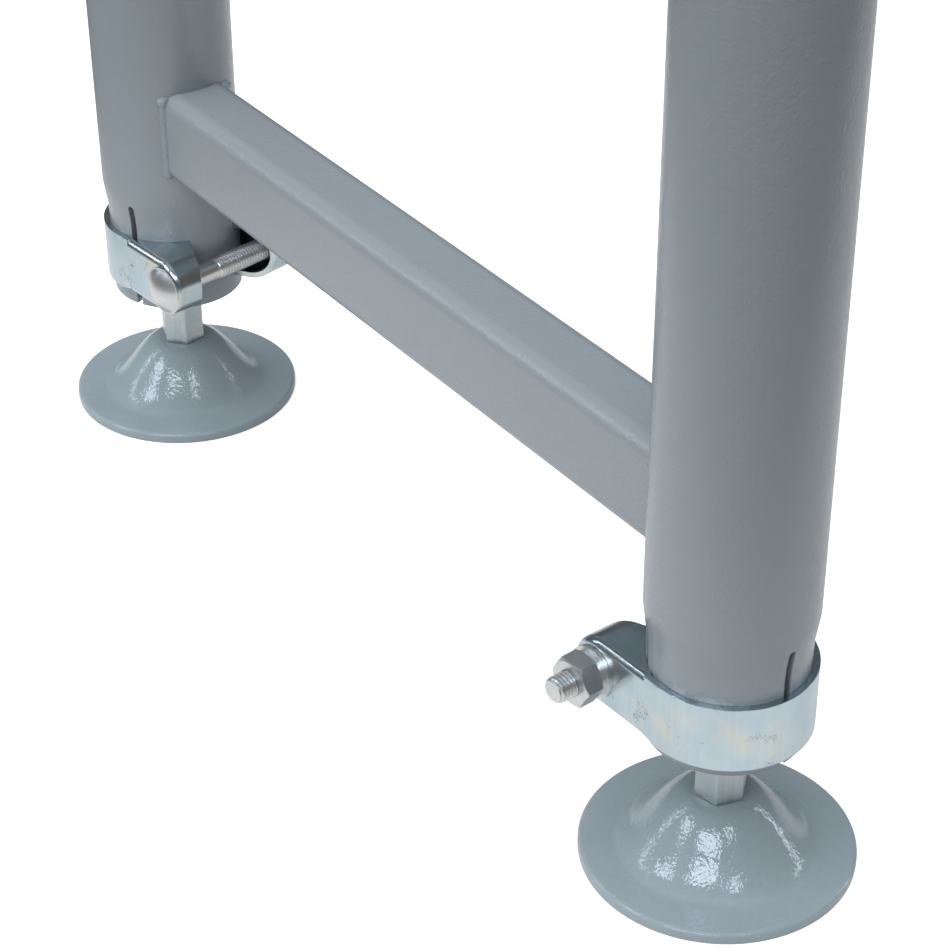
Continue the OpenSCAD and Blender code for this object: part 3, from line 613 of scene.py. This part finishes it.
def spindleShell(p, hexTurn):
    # rings of (radius by angle, height): a pole, the spread end, the pivot, the hexagon, the thread, a pole
    angle = np.radians(hexTurn) + roundAngles(p["columns"])
    ones = np.ones_like(angle)
    spread, pivot = p["spread"] / 2 * ones, p["pivot"] / 2 * ones
    hexagon = hexRadius(angle, p["hexFlats"], hexTurn + 30)
    circle = p["hexFlats"] / 2 * p["hexFace"] * ones
    ease, inset = p["hexEase"], p["hexInset"]
    rings = [
        (0 * ones, p["spreadLow"]), (spread - p["spreadEdgeIn"], p["spreadLow"]),
        (spread, p["spreadLow"] + p["spreadEdgeUp"]), (spread, p["spreadHigh"]),
        (pivot, p["pivotLow"]), (pivot, p["hexLow"]),
        (circle, p["hexLow"]), (hexagon - ease, p["hexLow"]), (hexagon, p["hexLow"] + ease),
        *((hexagon, height) for height in np.linspace(p["hexLow"] + inset, p["hexHigh"] - inset, p["hexRings"])),
        (hexagon, p["hexHigh"] - ease), (hexagon - ease, p["hexHigh"]), (circle, p["hexHigh"]),
    ]
    low, high = p["hexHigh"] + p["threadGap"], p["threadTop"]
    heights = np.linspace(low, high, int((high - low) / p["pitch"] * p["rowsPerTurn"]))
    radius = threadRadius(angle[None, :], heights[:, None], p["major"] / 2, p["pitch"], p["depth"])
    # the thread begins and ends in cones
    radius = np.minimum(radius, (p["major"] / 2 - p["startIn"] + (heights - low) * p["startSlope"])[:, None])
    radius = np.minimum(radius, (p["major"] / 2 - p["endIn"] + (high - heights))[:, None])
    rings += [*zip(radius, heights), (0 * ones, high)]
    radii = np.array([r for r, h in rings])
    tall = np.array([h for r, h in rings])[:, None] * ones
    return np.stack([radii * np.cos(angle), radii * np.sin(angle), tall], axis=-1)


for leg, (x, y) in layout["legs"].items():
    vertices, faces = skin(spindleShell(spindle, layout["hexTurn"][leg]), False)
    shells = [(vertices + (x, y, 0), faces)]
    piece = addPiece(f"levellingSpindle{leg}", shells, f"spindle_{leg}", "spindle_zinc", spindle["sharpAbove"])
    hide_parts(f"foot_spindle_{leg}")
print("levelling spindles made")

# clamp bolts with a domed head, a smooth shank and a rolled thread;
# boltOut, bandHigh and bandOut say where the clamp holds its bolt
clampBolt = {
    "columns": 48, "headWide": 21.5, "headTall": 4.0, "headEdge": 0.6, "headSteps": 14, "headTrim": 0.15,
    "headEase": 0.05, "seatEase": 0.2, "filletOut": 0.5, "filletUp": 0.4, "shank": 9.0, "shankEnd": 27.0,
    "shankGap": 0.3, "runInTurns": 1.5, "major": 10.0, "pitch": 1.5, "depth": 0.92, "length": 80.0, "tip": 1.0,
    "rowsPerTurn": 12, "boltOut": 34.5, "bandHigh": 13.0, "bandOut": 31.1, "sharpAbove": 30,
}


def clampBoltShell(p):
    # profile along the bolt from the head's top at minus headTall to the tip at length
    half, tall = p["headWide"] / 2, p["headTall"]
    capRadius = (half * half + tall * tall) / (2 * tall)
    centre = capRadius - tall
    angle = roundAngles(p["columns"])
    reach = np.degrees(np.arcsin(half / capRadius))
    swing = np.radians(np.linspace(0, reach, p["headSteps"]))
    cap = np.stack([capRadius * np.sin(swing), centre - capRadius * np.cos(swing)], axis=-1)
    cap = cap[cap[:, 0] < half - p["headTrim"]]
    lip, shank = p["headEdge"], p["shank"] / 2
    profile = np.vstack([
        cap, [[half - p["headEase"], -lip], [half, -lip / 2], [half - p["seatEase"], 0.0]],
        [[shank + p["filletOut"], 0.0], [shank, p["filletUp"]], [shank, p["shankEnd"] - p["shankGap"]]],
    ])
    plain, plainHeights = profile[:, :1] + 0 * angle, profile[:, 1]
    turns = (p["length"] - p["shankEnd"]) / p["pitch"]
    heights = np.linspace(p["shankEnd"], p["length"], int(turns * p["rowsPerTurn"]))
    radius = threadRadius(angle[None, :], heights[:, None], p["major"] / 2, p["pitch"], p["depth"])
    runIn = np.clip((heights - p["shankEnd"]) / p["pitch"] / p["runInTurns"], 0, 1)[:, None]
    radius = shank + (radius - shank) * runIn
    radius = np.minimum(radius, (p["major"] / 2 - p["tip"] + (p["length"] - heights))[:, None])
    radii = np.vstack([plain, radius, 0 * angle[None, :]])
    along = np.concatenate([plainHeights, heights, [p["length"]]])[:, None] + 0 * angle
    # the bolt lies along +Y, so radius fills X and Z
    return np.stack([radii * np.cos(angle), along, -radii * np.sin(angle)], axis=-1)


def earSeat(leg, across):
    # how far the ear's outer face stands from the middle of the clamp's gap, where something this wide seats
    lean = math.radians(layout["earLean"][leg])
    side = 1 if lean > 0 else -1
    return clampBolt["bandOut"] / math.cos(lean) + (clampBolt["boltOut"] + side * across / 2) * math.tan(lean)


def toClamp(points, leg):
    # from a clamp's own place to the table's: turned about the leg, raised, and turned half round for legs 3 and 4
    x, y = layout["legs"][leg]
    turn = math.radians(layout["clampTurn"][leg] + (180 if leg > 2 else 0))
    c, s = math.cos(turn), math.sin(turn)
    px, py, pz = points[:, 0], points[:, 1], points[:, 2]
    return np.stack([px * c - py * s + x, px * s + py * c + y, pz + layout["clampBottom"][leg]], axis=-1)


shells = []
for leg in layout["legs"]:
    vertices, faces = skin(clampBoltShell(clampBolt), False)
    vertices = vertices + (clampBolt["boltOut"], -earSeat(leg, clampBolt["headWide"]), clampBolt["bandHigh"])
    shells.append((toClamp(vertices, leg), faces))
bolts = addPiece("clampBoltsThreaded", shells, "root", "bolt_zinc", clampBolt["sharpAbove"])
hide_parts("clamp_bolts")
print("clamp bolts made")

# weld beads: one up each side of a crossbar's end, and a ring under each head plate
weld = {
    "radius": 2.2, "sunk": 0.7, "ripple": 2.1, "rippleDepth": 0.09, "rippleMean": 0.6, "rippleBow": 0.35,
    "rippleDrift": 0.2, "drift": 0.14, "wander": 0.25, "blob": 0.5, "blobAt": 2.5, "blobLong": 2.0,
    "barHalf": 15.0, "barLow": 121.8, "barHigh": 160.2, "plateHeight": 584.0,
    "around": 18, "perMm": 2.5, "sharpAbove": 50,
}


def bead(path, outwards, seed, looped):
    # circles of uneven radius round the path: overlapping crescents, a slow drift made of three sines,
    # and on an open bead a thicker start and round ends. The middle swerves along two sines
    step = np.linalg.norm(np.diff(path, axis=0), axis=1)
    run = np.concatenate([[0], np.cumsum(step)])
    length = run[-1] + (step[-1] if looped else 0)
    tangent = np.roll(path, -1, axis=0) - np.roll(path, 1, axis=0) if looped else np.gradient(path, axis=0)
    tangent /= np.linalg.norm(tangent, axis=1, keepdims=True)
    sideways = np.cross(tangent, outwards)
    turn = fullTurn * run / length
    slow = np.sin(3 * turn + seed) + 0.6 * np.sin(7 * turn + 2.3 * seed) + 0.4 * np.sin(13 * turn + 4.1 * seed)
    swerve = np.sin(5 * turn + 1.7 * seed) + 0.7 * np.sin(11 * turn + 3.1 * seed)
    around = roundAngles(weld["around"])
    ripples = run[:, None] / weld["ripple"] + weld["rippleBow"] * np.cos(around) + weld["rippleDrift"] * slow[:, None]
    crescent = weld["rippleDepth"] * (np.abs(np.sin(np.pi * ripples)) - weld["rippleMean"])
    radius = weld["radius"] * (1 + weld["drift"] * slow[:, None] / 2 + crescent)
    if not looped:
        radius = radius * (1 + weld["blob"] * np.exp(-((run[:, None] - weld["blobAt"]) / weld["blobLong"]) ** 2))
        ends = np.minimum(run, length - run) / weld["radius"]
        radius = radius * np.sqrt(np.clip(1 - (1 - np.clip(ends, 0, 1)) ** 2, 0, 1))[:, None]
    centre = path + sideways * (weld["wander"] * swerve / 2)[:, None]
    ring = np.cos(around)[None, :, None] * outwards[:, None] + np.sin(around)[None, :, None] * sideways[:, None]
    return skin(centre[:, None] + radius[:, :, None] * ring, looped)


def barBead(x, y, side, seed):
    # straight down the line where the bar's side meets the round leg
    inwards = -1 if y > 0 else 1
    reach = layout["legRadius"]
    across = math.sqrt(reach ** 2 - weld["barHalf"] ** 2)
    outwards = np.array([side * (1 + weld["barHalf"] / reach), inwards * across / reach, 0])
    outwards /= np.linalg.norm(outwards)
    steps = int((weld["barHigh"] - weld["barLow"]) * weld["perMm"])
    height = np.linspace(weld["barHigh"], weld["barLow"], steps)
    corner = np.array([x + side * weld["barHalf"], y + inwards * across, 0]) - weld["sunk"] * outwards
    path = corner + np.stack([0 * height, 0 * height, height], axis=-1)
    return bead(path, np.tile(outwards, (len(path), 1)), seed, False)


def plateBead(x, y, seed):
    # once round the leg under its head plate
    reach = layout["legRadius"]
    steps = int(fullTurn * reach * weld["perMm"])
    angle = roundAngles(steps)
    outwards = np.stack([np.cos(angle), np.sin(angle), -np.ones(steps)], axis=-1) / math.sqrt(2)
    heights = np.full(steps, weld["plateHeight"])
    place = np.stack([x + reach * np.cos(angle), y + reach * np.sin(angle), heights], axis=-1)
    return bead(place - weld["sunk"] * outwards, outwards, seed, True)


shells = []
for leg, (x, y) in layout["legs"].items():
    shells += [barBead(x, y, side, 2.1 * leg + side) for side in (-1, 1)]
    shells.append(plateBead(x, y, 1.3 * leg))
addPiece("weldBeads", shells, "root", "frame_paint", weld["sharpAbove"])
print("weld beads made")

print("scene finished")
